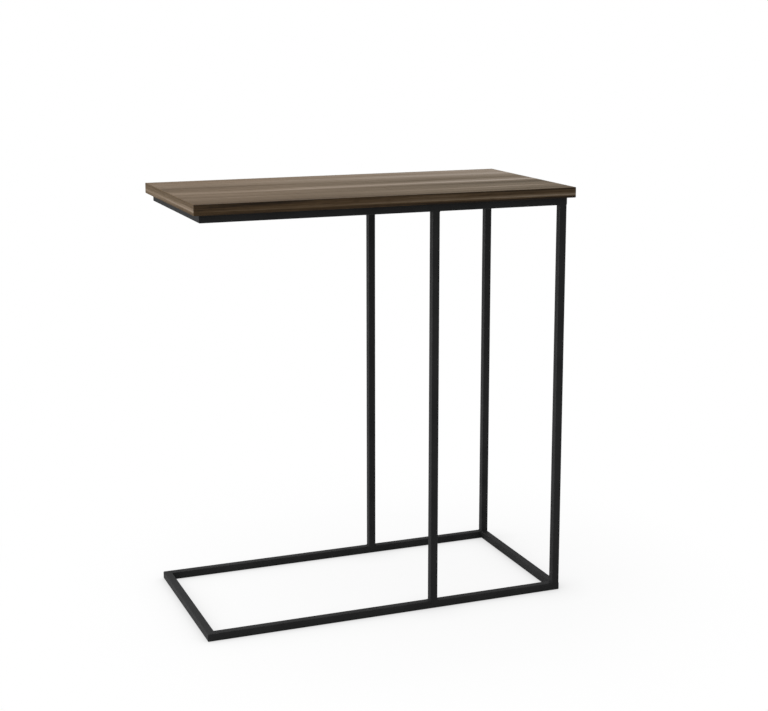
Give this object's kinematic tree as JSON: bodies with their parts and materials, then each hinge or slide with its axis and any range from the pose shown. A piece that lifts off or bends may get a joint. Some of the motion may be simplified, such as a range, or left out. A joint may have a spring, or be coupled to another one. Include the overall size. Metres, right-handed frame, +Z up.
{
  "type": "side table",
  "caption": "C-shaped sofa side table: a walnut-look board screwed onto a welded black square-tube frame, open at the end that slides over a sofa.",
  "frame": {"origin": "middle of the footprint, on the floor", "axes": "+X along the length, away from the open end that slides over a sofa; +Y across the width, to the back; +Z up"},
  "size_m": [0.6, 0.3, 0.65],
  "materials": {
    "walnut_decor": "satin",
    "walnut_edge_band": "satin",
    "chipboard": "raw",
    "black_powder_coat": "satin, fine grain",
    "zinc_screw": "zinc plated"
  },
  "bodies": {
    "root": {"tabletop_core": "chipboard", "tabletop_decor_upper": "walnut_decor", "tabletop_decor_lower": "walnut_decor", "edge_band_front": "walnut_edge_band", "edge_band_back": "walnut_edge_band", "edge_band_left": "walnut_edge_band", "edge_band_right": "walnut_edge_band", "top_rail_front": "black_powder_coat", "top_rail_back": "black_powder_coat", "top_rail_left": "black_powder_coat", "top_rail_right": "black_powder_coat", "base_rail_front": "black_powder_coat", "base_rail_back": "black_powder_coat", "base_rail_left": "black_powder_coat", "base_rail_right": "black_powder_coat", "post_inner_front": "black_powder_coat", "post_inner_back": "black_powder_coat", "post_end_front": "black_powder_coat", "post_end_back": "black_powder_coat", "base_corner_welds": "black_powder_coat", "top_corner_welds": "black_powder_coat", "post_foot_welds": "black_powder_coat", "post_head_welds": "black_powder_coat", "tabletop_screws": "zinc_screw"}
  },
  "joints": []
}
